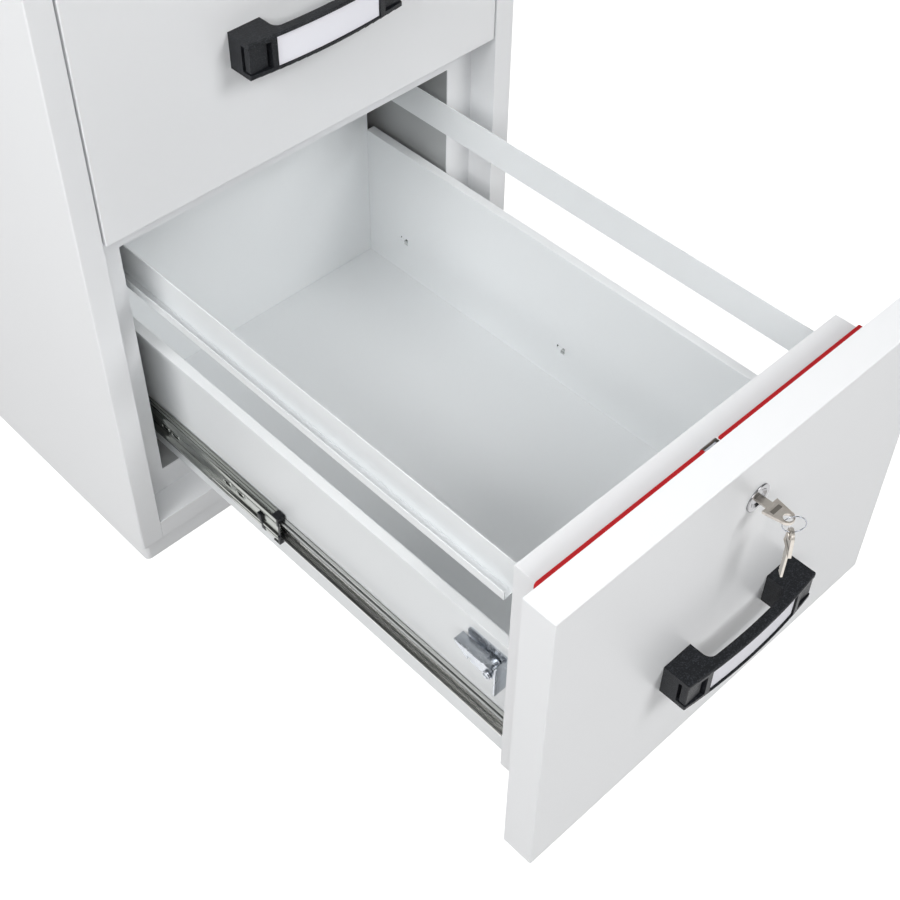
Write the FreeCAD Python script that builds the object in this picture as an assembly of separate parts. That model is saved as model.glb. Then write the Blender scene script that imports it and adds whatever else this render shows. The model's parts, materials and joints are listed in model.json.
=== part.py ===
import FreeCAD, Part
import math
import os

# Fireproof filing cabinet: an insulated steel cabinet with two insulated file drawers on ball slides.
# Millimetres. +Z is up, the drawers open towards -Y, and the origin is the middle of the base.
# A depth called m is measured back from the front plane of the cabinet.
# The drawers are drawn shut. The lower one is then set at the travel at which it stands open.

# Cabinet body
CABINET_W = 540.0
CABINET_D = 765.0
PLINTH_H = 25.0
PLINTH_INSET = 3.0
PLINTH_CORNER_R = 6.0
PLINTH_T = 1.5
SILL_H = 24.5
TOP_RAIL_H = 24.5
STILE_W = 25.5
REBATE_D = 36.0
SKIN_T = 1.2
SKIN_BEND_R = 2.0
SEAT_LAP = 7.5
LINER_T = 1.0
SIDE_WALL_T = 60.0
REAR_WALL_T = 60.0

# Drawer faces and the gaps round them
FACE_T = 33.0
FACE_SIDE_GAP = 2.5
FACE_GAP = 9.5
FACE_EDGE_R = 1.5
LEVELS = 2
DRAWER_TRAVEL = 545.0

# Seat openings behind the faces
SEAT_BELOW = 20.5
SEAT_ABOVE = 30.5

# Insulated plug on the back of each face, with its heat seal
PLUG_DEPTH = 43.5
PLUG_SIDE_GAP = 6.0
PLUG_BOTTOM_GAP = 11.5
PLUG_TOP_GAP = 6.3
PLUG_T = 1.0
SEAL_T = 3.0
SEAL_W = 6.5
SEAL_BACK = 11.5
SEAL_CORNER_R = 3.5

# Tray and its rails for hanging files
TRAY_T = 1.2
TRAY_FLOOR_GAP = 7.3
TRAY_WALL_H = 178.7
TRAY_LEDGE = 9.3
TRAY_LIP = 3.0
TRAY_END = 692.0
BACK_H = 278.0
BACK_ROOM = 25.2
BACK_FOLD = 8.0
RAIL_H = 37.8
RAIL_LEDGE = 10.8
RAIL_LIP = 9.5
RAIL_LEDGE_START = 10.0
RAIL_CORNER_R = 10.0
LANCE_Z = 45.7
LANCE_LONG = 12.0
LANCE_HIGH = 9.0
LANCE_TAB = 3.5
LANCE_PLACES = (299.5, 554.5)

# Ball slides: cabinet member, middle member, drawer member, and two ball races
SLIDE_T = 12.7
SLIDE_Z = 52.7
SLIDE_START = 81.0
SLIDE_LONG = 600.0
SLIDE_SHEET = 1.2
OUTER_H = 46.0
OUTER_FLANGE = 9.0
BALL_GAP = 3.8
BALL_CLEAR = 0.1
MIDDLE_START_BACK = 3.8
MIDDLE_LONG = 560.0
MIDDLE_WEB_U = 1.9
MIDDLE_FLANGE_U = 10.5
VALLEY_H = 17.0
VALLEY_DEEP = 3.0
INNER_FLANGE_U = 4.4
SLOT_LONG = 16.0
SLOT_HIGH = 5.0
SLOTS = 6
MIDDLE_RATIO = 0.44
CAGE_T = 1.0
CAGE_STRIP_W = 4.2
OUTER_CAGE_BACK = 124.0
OUTER_CAGE_LONG = 280.0
INNER_CAGE_BACK = 161.0
INNER_CAGE_LONG = 240.0
BALLS_IN_ROW = 5
BALL_U = 6.9
BUMPER_PROUD = 1.5
BUMPER_NOSE = 3.0
BUMPER_WRAP = 7.0
BUMPER_WEB_T = 1.0
BUMPER_CLEAR = 0.4

# Runner brackets that space the slides off the liner, and their flat screws
BRACKET_T = 6.1
BRACKET_H = 44.0
BRACKET_SHEET = 1.2
BRACKET_OVER = 2.0
SCREW_D = 4.0
SCREW_HEAD_D = 7.0
RUNNER_SCREWS = (30.0, 300.0, 570.0)

# Handle with its label and corner caps
HANDLE_W = 177.0
HANDLE_H = 36.0
HANDLE_Z = 133.5
HANDLE_END_D = 28.5
HANDLE_MID_D = 34.3
HANDLE_FOOT_W = 35.0
GRIP_T = 10.3
GRIP_ROOT_R = 8.0
HANDLE_EDGE_R = 1.5
LABEL_W = 119.0
LABEL_H = 30.6
LABEL_DEEP = 2.8
LABEL_T = 0.6
LABEL_FIT = 0.4
CAP_WINDOW_W = 23.0
CAP_WINDOW_H = 26.0
CAP_WINDOW_D = 11.0
CAP_SUNK = 0.8
CAP_SLIT = 2.8
CAP_STEM = 9.0
HANDLE_SCREW_X = 71.0
HANDLE_SCREW_D = 4.0
HANDLE_SCREW_HEAD_D = 8.0
HANDLE_SCREW_HEAD_T = 2.4
HANDLE_SCREW_IN = 14.0

# Lock: housing, barrel with cam, sliding bolt and its keeper
LOCK_BELOW_TOP = 56.9
ESCUTCHEON_D = 28.0
ESCUTCHEON_T = 1.6
ESCUTCHEON_EDGE_R = 0.9
DISH_D = 20.2
DISH_DEEP = 2.4
HOUSING_D = 20.0
HOUSING_BACK = 41.0
HOUSING_FIT = 0.1
BARREL_D = 14.0
BARREL_FIT = 0.05
CAM_GAP = 0.5
CAM_T = 2.4
CAM_W = 9.0
CAM_TIP_W = 4.5
CAM_THROW = 14.0
PEG_D = 3.0
PEG_LONG = 7.0
PEG_CLEAR = 3.5
BOLT_W = 19.8
BOLT_T = 10.3
BOLT_EDGE_R = 1.0
BOLT_SUNK = 3.0
BOLT_FIT = 0.5
BOLT_FRONT_GAP = 0.6
LOCK_WELL_W = 36.0
LOCK_WELL_BELOW = 17.0
KEEPER_SPARE = 2.6
KEEPER_T = 1.5
KEEPER_ROOM = 4.0

# Keys and their ring
KEY_T = 2.4
KEY_BOW_W = 20.0
KEY_TIP_W = 14.0
KEY_BOW_LONG = 24.0
KEY_BLADE_W = 8.0
KEY_BLADE_T = 2.0
KEY_BLADE_LONG = 33.0
KEY_CUTS = 5
KEY_CUT_START = 3.0
KEY_CUT_PITCH = 4.0
KEY_CUT_RADII = (1.2, 1.5, 1.8)
KEY_OUT = 12.0
KEY_HOLE_R = 4.2
KEY_RIM = 1.5
KEY_STRIP_LONG = 12.0
KEY_STRIP_HIGH = 4.0
KEY_STRIP_DEEP = 0.3
KEY_STRIP_BACK = 4.5
KEYWAY_FIT = 0.1
RING_R = 9.75
RING_WIRE = 1.0
RING_TURN = 46.7
RING_ASIDE = 6.5
RING_DROP = 7.4
SPARE_SLACK = 0.1

# Catch on the left of each drawer: bracket, pivot, spring, hook and the strike it drops behind
PIVOT_BACK = 19.0
PIVOT_Z = 130.2
PIVOT_D = 4.0
PIVOT_FIT = 0.05
PIVOT_HEAD_D = 6.5
PIVOT_HEAD_T = 1.2
PIVOT_HEAD_R = 0.5
CATCH_SHEET = 1.5
CATCH_PLATE_LONG = 46.0
CATCH_PLATE_LOW = 26.0
CATCH_PLATE_HIGH = 18.0
CATCH_PLATE_R = 4.0
CATCH_FLANGE_OUT = 14.8
CATCH_FLANGE_TOP = 14.0
CATCH_FLANGE_R = 2.0
CATCH_FRONT_BACK = 10.5
HOOK_W = 12.0
HOOK_SHEET = 1.2
HOOK_SIDE_GAP = 1.3
HOOK_TOP = 8.0
HOOK_LONG = 42.0
HOOK_NECK = 5.0
HOOK_EYE_R = 4.6
HOOK_EYE_TOP = 5.0
HOOK_CHAMFER = 1.5
HOOK_EDGE_R = 0.9
HOOK_LOW = 4.5
TOOTH_AT = 24.8
NOTCH_W = 3.8
NOTCH_UP = 4.5
HOOK_OPEN_TOP = 8.0
SPRING_WIRE = 1.2
SPRING_R = 3.5
SPRING_PITCH = 1.75
SPRING_TURNS = 3
SPRING_LAST_TURN = 0.5
SPRING_STEPS = 8
SPRING_LEG = 7.0
SPRING_TAIL = 6.0
STRIKE_T = 2.4
STRIKE_SHORT_OF_TOOTH = 1.3
STRIKE_CLEAR = 0.7
STRIKE_LOW = 12.0
STRIKE_OUT = 8.0
STRIKE_PLATE_T = 1.2
STRIKE_PLATE_LONG = 26.0
STRIKE_PLATE_H = 20.0
STRIKE_PLATE_UP = 2.0

# How near an edge lies to a plane when it is picked by its place
NEAR = 1e-3

# Values that follow from the ones above
half_w = CABINET_W / 2
front_y = -CABINET_D / 2
rebate_half = half_w - STILE_W
face_half = rebate_half - FACE_SIDE_GAP
rebate_low = PLINTH_H + SILL_H
face_low = rebate_low + FACE_GAP
bay_low = face_low + SEAT_BELOW
tray_low = bay_low + TRAY_FLOOR_GAP
back_top = tray_low + BACK_H
bay_top = back_top + BACK_ROOM
face_top = bay_top + SEAT_ABOVE
pitch = face_top + FACE_GAP - face_low
rebate_top = face_low + LEVELS * pitch
cabinet_top = rebate_top + TOP_RAIL_H
bay_half = half_w - SIDE_WALL_T
bay_end = CABINET_D - REAR_WALL_T
seat_back = REBATE_D + SKIN_T
plug_half = bay_half - PLUG_SIDE_GAP
plug_low = bay_low + PLUG_BOTTOM_GAP
plug_top = bay_top - PLUG_TOP_GAP
plug_end = FACE_T + PLUG_DEPTH
slide_face = bay_half - BRACKET_T
tray_half = slide_face - SLIDE_T
slide_z = tray_low + SLIDE_Z
lock_z = face_top - LOCK_BELOW_TOP
seal_start = FACE_T + SEAL_BACK
seal_end = seal_start + SEAL_W
cam_start = HOUSING_BACK + CAM_GAP
cam_end = cam_start + CAM_T
bolt_start = cam_end + BOLT_FRONT_GAP
bolt_end = bolt_start + BOLT_T
bolt_top = plug_top - BOLT_SUNK
bolt_low = lock_z + PEG_D / 2 + PEG_CLEAR
keeper_top = bolt_top + CAM_THROW + KEEPER_ROOM + KEEPER_T
slot_half = BOLT_W / 2 + BOLT_FIT
handle_low = face_low + HANDLE_Z - HANDLE_H / 2
handle_mid = face_low + HANDLE_Z
pivot_m = plug_end + PIVOT_BACK
pivot_z = tray_low + PIVOT_Z


def block(x0, x1, m0, m1, z0, z1):
    """Box between two x values, two depths behind the front plane, and two heights."""
    corner = FreeCAD.Vector(min(x0, x1), front_y + min(m0, m1), min(z0, z1))
    return Part.makeBox(abs(x1 - x0), abs(m1 - m0), abs(z1 - z0), corner)


def point(x, m, z):
    return FreeCAD.Vector(x, front_y + m, z)


def rod(centre, direction, diameter, length):
    return Part.makeCylinder(diameter / 2, length, centre, direction)


def face_of(points):
    return Part.Face(Part.makePolygon(points + points[:1]))


def mirrored(shape):
    return shape.mirror(FreeCAD.Vector(0, 0, 0), FreeCAD.Vector(1, 0, 0))


def pair(shape):
    """A piece and its mirror image on the other side."""
    return [shape, mirrored(shape)]


def rounded(shape, radius, wanted):
    edges = [e for e in shape.Edges if wanted(e)]
    return shape.makeFillet(radius, edges)


def runs_along(edge, axis):
    low = edge.BoundBox
    spans = (low.XLength, low.YLength, low.ZLength)
    return all(span < 1e-6 for i, span in enumerate(spans) if i != axis)


def slot_cut(x0, x1, m, z, length, height):
    """Round-ended slot through a wall that stands square to x."""
    r = height / 2
    straight = (length - height) / 2
    cut = block(x0, x1, m - straight, m + straight, z - r, z + r)
    for end in (m - straight, m + straight):
        cut = cut.fuse(rod(point(min(x0, x1), end, z), FreeCAD.Vector(1, 0, 0), height, abs(x1 - x0)))
    return cut


out_x = FreeCAD.Vector(1, 0, 0)
out_y = FreeCAD.Vector(0, 1, 0)
out_z = FreeCAD.Vector(0, 0, 1)


# Cabinet pieces

def skin_core():
    """The space inside the outer skin, open at its back and its bottom."""
    core = block(-half_w + SKIN_T, half_w - SKIN_T, SKIN_T, CABINET_D, PLINTH_H, cabinet_top - SKIN_T)
    inner_r = SKIN_BEND_R - SKIN_T
    front = front_y + SKIN_T
    top = cabinet_top - SKIN_T
    return rounded(core, inner_r, lambda e: (
        runs_along(e, 1) and e.BoundBox.ZMin > top - NEAR) or (
        e.BoundBox.YMax < front + NEAR and not runs_along(e, 0)) or (
        e.BoundBox.YMax < front + NEAR and e.BoundBox.ZMin > top - NEAR))


def rebate_space(spare):
    half = rebate_half + spare
    return block(-half, half, -1, REBATE_D, rebate_low - spare, rebate_top + spare)


def outer_shell():
    """Sides, top, stiles and top rail in one folded skin, with the returns of the front rebate."""
    body = block(-half_w, half_w, 0, CABINET_D, PLINTH_H, cabinet_top)
    body = rounded(body, SKIN_BEND_R, lambda e: (
        runs_along(e, 1) and e.BoundBox.ZMin > cabinet_top - NEAR) or (
        e.BoundBox.YMax < front_y + NEAR and (runs_along(e, 2) or e.BoundBox.ZMin > cabinet_top - NEAR)))
    skin = body.cut(skin_core())
    wide = rebate_half + SKIN_T
    returns = block(-wide, wide, SKIN_T / 2, REBATE_D, rebate_low - 1, rebate_top + SKIN_T)
    skin = skin.fuse(returns)
    opening = block(-rebate_half, rebate_half, -1, REBATE_D + 1, PLINTH_H - 1, rebate_top)
    below = block(-wide, wide, SKIN_T, REBATE_D + 1, PLINTH_H - 1, rebate_low)
    return skin.cut(opening).cut(below).removeSplitter()


def front_frame():
    """Sill and seat plate, with an opening for each drawer and the crossbar between them."""
    sill = block(-rebate_half, rebate_half, 0, SKIN_T, PLINTH_H, rebate_low)
    sill_top = block(-rebate_half, rebate_half, SKIN_T, REBATE_D, rebate_low - SKIN_T, rebate_low)
    lap = rebate_half + SEAT_LAP
    plate = block(-lap, lap, REBATE_D, seat_back, rebate_low - SEAT_LAP, rebate_top + SEAT_LAP)
    for level in range(LEVELS):
        up = level * pitch
        plate = plate.cut(block(-bay_half, bay_half, REBATE_D - 1, seat_back + 1, bay_low + up, bay_top + up))
    return sill.fuse(sill_top).fuse(plate).removeSplitter()


def bottom_plate():
    """Floor of the body, inside the outer skin."""
    return skin_core().common(block(-half_w, half_w, 0, CABINET_D - SKIN_T, PLINTH_H, PLINTH_H + SKIN_T))


def rear_panel():
    """Back of the cabinet, let into the end of the outer skin."""
    return skin_core().common(block(-half_w, half_w, CABINET_D - SKIN_T, CABINET_D, PLINTH_H, cabinet_top))


def plinth():
    """Rounded pan under the cabinet. Its flat base is what the cabinet stands on."""
    def prism(inset, low, top):
        solid = block(-half_w + inset, half_w - inset, inset, CABINET_D - inset, low, top)
        return rounded(solid, PLINTH_CORNER_R - (inset - PLINTH_INSET), lambda e: runs_along(e, 2))
    return prism(PLINTH_INSET, 0, PLINTH_H).cut(prism(PLINTH_INSET + PLINTH_T, PLINTH_T, PLINTH_H + 1))


def keeper_hole(up):
    """The way through the liner for the bolt of one drawer."""
    half = BOLT_W / 2 + KEEPER_SPARE
    return block(-half, half, bolt_start - KEEPER_SPARE / 2, bolt_end + KEEPER_SPARE / 2,
                 bay_top + up - 1, keeper_top + up - KEEPER_T)


def keeper_body(up):
    half = BOLT_W / 2 + KEEPER_SPARE + KEEPER_T
    over = KEEPER_SPARE / 2 + KEEPER_T
    return block(-half, half, bolt_start - over, bolt_end + over, bay_top + up + LINER_T, keeper_top + up)


def bolt_keepers():
    return [keeper_body(level * pitch).cut(keeper_hole(level * pitch)) for level in range(LEVELS)]


def liner_body(up):
    t = LINER_T
    return block(-bay_half - t, bay_half + t, seat_back, bay_end + t, bay_low + up - t, bay_top + up + t)


def inner_liner(up):
    """Steel box that the drawer runs in, open at its front, with the hole for the bolt in its roof."""
    bay = block(-bay_half, bay_half, seat_back - 1, bay_end, bay_low + up, bay_top + up)
    return liner_body(up).cut(bay).cut(keeper_hole(up))


def wall_insulation():
    """Cast filling between the outer skin and the liners."""
    filling = skin_core().cut(rear_panel()).cut(bottom_plate())
    filling = filling.cut(rebate_space(SKIN_T))
    filling = filling.cut(block(-rebate_half, rebate_half, 0, REBATE_D, PLINTH_H, rebate_low))
    lap = rebate_half + SEAT_LAP
    filling = filling.cut(block(-lap, lap, REBATE_D, seat_back, rebate_low - SEAT_LAP, rebate_top + SEAT_LAP))
    for level in range(LEVELS):
        filling = filling.cut(liner_body(level * pitch))
        filling = filling.cut(keeper_body(level * pitch))
    return filling


def runner_brackets():
    """Channels on the liner walls that bring the slides out to the tray."""
    pieces = []
    for level in range(LEVELS):
        z = slide_z + level * pitch
        start = SLIDE_START - BRACKET_OVER
        end = SLIDE_START + SLIDE_LONG + BRACKET_OVER
        half = BRACKET_H / 2
        channel = block(slide_face, bay_half, start, end, z - half, z + half)
        inner = half - BRACKET_SHEET
        hollow = block(slide_face + BRACKET_SHEET, bay_half + 1, start - 1, end + 1, z - inner, z + inner)
        channel = channel.cut(hollow)
        for place in RUNNER_SCREWS:
            start_of_hole = point(slide_face - 1, SLIDE_START + place, z)
            channel = channel.cut(rod(start_of_hole, out_x, SCREW_D, BRACKET_T))
        pieces += pair(channel)
    return pieces


def runner_screws():
    """Flat screws that hold the cabinet members to their brackets."""
    pieces = []
    for level in range(LEVELS):
        z = slide_z + level * pitch
        for place in RUNNER_SCREWS:
            m = SLIDE_START + place
            head = rod(point(slide_face - SLIDE_SHEET, m, z), out_x, SCREW_HEAD_D, SLIDE_SHEET)
            shank = rod(point(slide_face, m, z), out_x, SCREW_D, BRACKET_T)
            pieces += pair(head.fuse(shank))
    return pieces


def cabinet_slides():
    """Fixed members of the slides: channels with their flanges turned in."""
    pieces = []
    for level in range(LEVELS):
        z = slide_z + level * pitch
        member = channel_member(0, OUTER_FLANGE, OUTER_H, SLIDE_START, SLIDE_LONG, z)
        for place in RUNNER_SCREWS:
            start = point(slide_face - SLIDE_SHEET - 1, SLIDE_START + place, z)
            member = member.cut(rod(start, out_x, SCREW_HEAD_D, SLIDE_SHEET + 2))
        pieces += pair(member)
    return pieces


def latch_strikes():
    """Plate on the left liner wall with the tab that the hook drops behind."""
    pieces = []
    for level in range(LEVELS):
        up = level * pitch
        tab_m = pivot_m + TOOTH_AT - STRIKE_SHORT_OF_TOOTH - STRIKE_T
        top = pivot_z - HOOK_LOW - STRIKE_CLEAR + up
        plate_m = tab_m + STRIKE_T / 2 - STRIKE_PLATE_LONG / 2
        plate = block(-bay_half, -bay_half + STRIKE_PLATE_T, plate_m, plate_m + STRIKE_PLATE_LONG,
                      top + STRIKE_PLATE_UP - STRIKE_PLATE_H, top + STRIKE_PLATE_UP)
        tab = block(-bay_half, -bay_half + STRIKE_OUT, tab_m, tab_m + STRIKE_T, top - STRIKE_LOW, top)
        pieces.append(plate.fuse(tab).removeSplitter())
    return pieces


# Slide members, drawn on the right side. u runs from the cabinet member's back towards the tray.

def u_block(u0, u1, m0, m1, z0, z1):
    return block(slide_face - u0, slide_face - u1, m0, m1, z0, z1)


def channel_member(web_u, flange_u, height, start, length, z):
    """Channel whose web is at web_u and whose flanges reach to flange_u."""
    half = height / 2
    t = SLIDE_SHEET
    body = u_block(web_u, flange_u, start, start + length, z - half, z + half)
    hollow_start = web_u + t if flange_u > web_u else web_u - t
    hollow_end = flange_u + 1 if flange_u > web_u else flange_u - 1
    return body.cut(u_block(hollow_start, hollow_end, start - 1, start + length + 1, z - half + t, z + half - t))


middle_h = OUTER_H - 2 * SLIDE_SHEET - 2 * BALL_GAP
inner_h = middle_h - 2 * SLIDE_SHEET - 2 * BALL_GAP
middle_start = SLIDE_START + MIDDLE_START_BACK


def web_slots(member, web_u, start, length, z):
    for i in range(SLOTS):
        m = start + (i + 0.5) * length / SLOTS
        x = slide_face - web_u
        member = member.cut(slot_cut(x - SLIDE_SHEET - 1, x + 1, m, z, SLOT_LONG, SLOT_HIGH))
    return member


def middle_slides():
    """Middle members, with a valley pressed along the web between their two tracks."""
    start = middle_start
    end = middle_start + MIDDLE_LONG
    half = VALLEY_H / 2
    t = SLIDE_SHEET
    floor_u = MIDDLE_WEB_U + VALLEY_DEEP
    member = channel_member(MIDDLE_WEB_U, MIDDLE_FLANGE_U, middle_h, start, MIDDLE_LONG, slide_z)
    member = member.cut(u_block(0, MIDDLE_WEB_U + t + 1, start - 1, end + 1, slide_z - half, slide_z + half))
    valley = u_block(MIDDLE_WEB_U, floor_u + t, start, end, slide_z - half - t, slide_z + half + t)
    valley = valley.cut(u_block(0, floor_u, start - 1, end + 1, slide_z - half, slide_z + half))
    member = member.fuse(valley).removeSplitter()
    return pair(web_slots(member, floor_u, start, MIDDLE_LONG, slide_z))


def drawer_slides():
    member = channel_member(SLIDE_T, INNER_FLANGE_U, inner_h, SLIDE_START, SLIDE_LONG, slide_z)
    return pair(web_slots(member, SLIDE_T - SLIDE_SHEET, SLIDE_START, SLIDE_LONG, slide_z))


def slide_bumpers():
    """Plastic end stops clipped over the front ends of the middle members."""
    half = middle_h / 2 + BUMPER_PROUD
    low_u = MIDDLE_WEB_U - BUMPER_CLEAR
    high_u = MIDDLE_FLANGE_U + BUMPER_CLEAR
    nose = u_block(low_u, high_u, middle_start - BUMPER_NOSE, middle_start, slide_z - half, slide_z + half)
    way = inner_h / 2 + BUMPER_CLEAR
    nose = nose.cut(u_block(INNER_FLANGE_U - BUMPER_CLEAR, high_u + 1, middle_start - BUMPER_NOSE - 1,
                            middle_start + 1, slide_z - way, slide_z + way))
    hollow = VALLEY_H / 2 - BUMPER_CLEAR
    web_u = INNER_FLANGE_U - BUMPER_CLEAR - BUMPER_WEB_T
    nose = nose.cut(u_block(low_u - 1, web_u, middle_start - BUMPER_NOSE - 1, middle_start + 1,
                            slide_z - hollow, slide_z + hollow))
    for side in (-1, 1):
        edge = slide_z + side * middle_h / 2
        ear_end = middle_start + BUMPER_WRAP
        ear = u_block(low_u, high_u, middle_start, ear_end, edge, edge + side * BUMPER_PROUD)
        nose = nose.fuse(ear)
    return pair(nose.removeSplitter())


def ball_cage(start, length, track_z, z):
    """Two strips with a row of balls in each, above and below the middle of the slide."""
    pieces = []
    ball_d = BALL_GAP - BALL_CLEAR
    first = ball_d + BALL_CLEAR
    step = (length - 2 * first) / (BALLS_IN_ROW - 1)
    for side in (-1, 1):
        track = z + side * track_z
        strip = u_block(BALL_U - CAGE_STRIP_W / 2, BALL_U + CAGE_STRIP_W / 2, start, start + length,
                        track - CAGE_T / 2, track + CAGE_T / 2)
        for i in range(BALLS_IN_ROW):
            centre = point(slide_face - BALL_U, start + first + i * step, track)
            strip = strip.cut(rod(centre - out_z * CAGE_T, out_z, ball_d + 2 * BALL_CLEAR, 2 * CAGE_T))
            pieces += pair(Part.makeSphere(ball_d / 2, centre))
        pieces += pair(strip)
    return pieces


def outer_cages():
    track = middle_h / 2 + BALL_GAP / 2
    return ball_cage(SLIDE_START + OUTER_CAGE_BACK, OUTER_CAGE_LONG, track, slide_z)


def inner_cages():
    track = inner_h / 2 + BALL_GAP / 2
    return ball_cage(SLIDE_START + INNER_CAGE_BACK, INNER_CAGE_LONG, track, slide_z)


# Drawer front

def housing_rod(m0, m1, fit):
    return rod(point(0, m0, lock_z), out_y, HOUSING_D + 2 * fit, m1 - m0)


def handle_screw_holes(m0, m1, diameter):
    holes = [rod(point(side * HANDLE_SCREW_X, m0, handle_mid), out_y, diameter, m1 - m0) for side in (-1, 1)]
    return holes[0].fuse(holes[1])


def face_shell():
    """Pressed front of the drawer: a shallow pan with rounded front edges."""
    pan = block(-face_half, face_half, 0, FACE_T, face_low, face_top)
    pan = rounded(pan, FACE_EDGE_R, lambda e: e.BoundBox.YMax < front_y + NEAR or runs_along(e, 1))
    t = SKIN_T
    pan = pan.cut(block(-face_half + t, face_half - t, t, FACE_T + 1, face_low + t, face_top - t))
    pan = pan.cut(housing_rod(-1, t + 1, HOUSING_FIT))
    return pan.cut(handle_screw_holes(-1, t + 1, HANDLE_SCREW_D))


def plug_body(inset, m0):
    return block(-plug_half + inset, plug_half - inset, m0, plug_end - inset, plug_low + inset, plug_top - inset)


def bolt_slot(z0, z1):
    return block(-slot_half, slot_half, bolt_start - BOLT_FIT, bolt_end + BOLT_FIT, z0, z1)


def plug_shell():
    """Back plate of the drawer front, with the raised box that plugs the opening of the bay."""
    t = SKIN_T
    plate = block(-face_half + t, face_half - t, FACE_T - t, FACE_T, face_low + t, face_top - t)
    shell = plate.fuse(plug_body(0, FACE_T - t / 2)).cut(plug_body(PLUG_T, FACE_T - t - 1))
    return shell.cut(bolt_slot(plug_top - PLUG_T - 1, plug_top + 1)).removeSplitter()


def lock_well():
    """Room in the filling for the cam and the bolt."""
    half = LOCK_WELL_W / 2
    return block(-half, half, HOUSING_BACK - 1, bolt_end + 1, lock_z - LOCK_WELL_BELOW, plug_top - PLUG_T)


def insulation():
    t = SKIN_T
    filling = block(-face_half + t, face_half - t, t, FACE_T - t, face_low + t, face_top - t)
    filling = filling.fuse(plug_body(PLUG_T, FACE_T - t)).removeSplitter()
    filling = filling.cut(housing_rod(0, HOUSING_BACK, HOUSING_FIT)).cut(lock_well())
    return filling.cut(handle_screw_holes(0, t + HANDLE_SCREW_HEAD_T, HANDLE_SCREW_HEAD_D))


def heat_seal():
    """Red strip round the plug that swells in a fire. It is broken over the bolt."""
    half = plug_half + SEAL_T
    ring = block(-half, half, seal_start, seal_end, plug_low - SEAL_T, plug_top + SEAL_T)
    ring = rounded(ring, SEAL_CORNER_R, lambda e: runs_along(e, 1))
    ring = ring.cut(plug_body(0, 0))
    return ring.cut(block(-slot_half, slot_half, 0, seal_end + 1, plug_top - 1, plug_top + SEAL_T + 1))


# Tray

def lance_places():
    return [plug_end + m for m in LANCE_PLACES]


def tray():
    """Folded tray with ledges along its walls and lanced tabs that hold the slides."""
    t = TRAY_T
    wall_top = tray_low + TRAY_WALL_H
    body = block(-tray_half, tray_half, plug_end, TRAY_END, tray_low, wall_top)
    body = body.cut(block(-tray_half + t, tray_half - t, plug_end + t, TRAY_END + 1, tray_low + t, wall_top + 1))
    for side in (-1, 1):
        edge = side * tray_half
        out = side * (tray_half + TRAY_LEDGE)
        body = body.fuse(block(edge, out, plug_end, TRAY_END, wall_top - t, wall_top))
        body = body.fuse(block(out, out - side * t, plug_end, TRAY_END, wall_top - t - TRAY_LIP, wall_top - t))
    body = body.removeSplitter()
    z = tray_low + LANCE_Z
    for side in (-1, 1):
        inner = side * (tray_half - t)
        for m in lance_places():
            long = LANCE_LONG / 2
            top = z + LANCE_HIGH
            body = body.cut(block(side * (tray_half + 1), inner - side, m - long, m + long, z, top))
            tip = inner - side * LANCE_TAB
            start = m - long / 2
            end = m + long / 2
            tab = block(side * tray_half, tip, start, end, top - t, top)
            tab = tab.fuse(block(tip, tip + side * t, start, end, z + LANCE_HIGH / 3, top))
            body = body.fuse(tab)
    return body.removeSplitter()


def tray_back():
    """Tall back of the tray, folded over at its top."""
    t = TRAY_T
    panel = block(-tray_half, tray_half, TRAY_END, TRAY_END + t, tray_low, back_top)
    fold = block(-tray_half, tray_half, TRAY_END + t, TRAY_END + t + BACK_FOLD, back_top - t, back_top)
    return panel.fuse(fold).removeSplitter()


def file_rails():
    """Upright strips beside the files, with a ledge and a lip turned up along their outer side."""
    t = TRAY_T
    low = back_top - RAIL_H
    web = block(tray_half - t, tray_half, plug_end, TRAY_END, low, back_top)
    web = rounded(web, RAIL_CORNER_R, lambda e: (
        runs_along(e, 0) and e.BoundBox.YMax < front_y + plug_end + NEAR and e.BoundBox.ZMin > back_top - NEAR))
    start = plug_end + RAIL_LEDGE_START
    out = tray_half + RAIL_LEDGE
    ledge = block(tray_half, out, start, TRAY_END, low, low + t)
    lip = block(out - t, out, start, TRAY_END, low, low + RAIL_LIP)
    return pair(web.fuse(ledge).fuse(lip).removeSplitter())


# Handle, drawn about x = 0 on the face of the drawer

def arc_edge(points):
    return Part.Arc(*[point(x, m, handle_low) for x, m in points]).toShape()


def line_edge(a, b):
    return Part.makeLine(point(a[0], a[1], handle_low), point(b[0], b[1], handle_low))


def front_depth(x, inset):
    """Depth of the bowed front at x, measured out from the face of the drawer."""
    rise = HANDLE_MID_D - HANDLE_END_D
    radius = (rise ** 2 + (HANDLE_W / 2) ** 2) / (2 * rise)
    return HANDLE_MID_D - inset - radius + math.sqrt(radius ** 2 - x ** 2)


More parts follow.
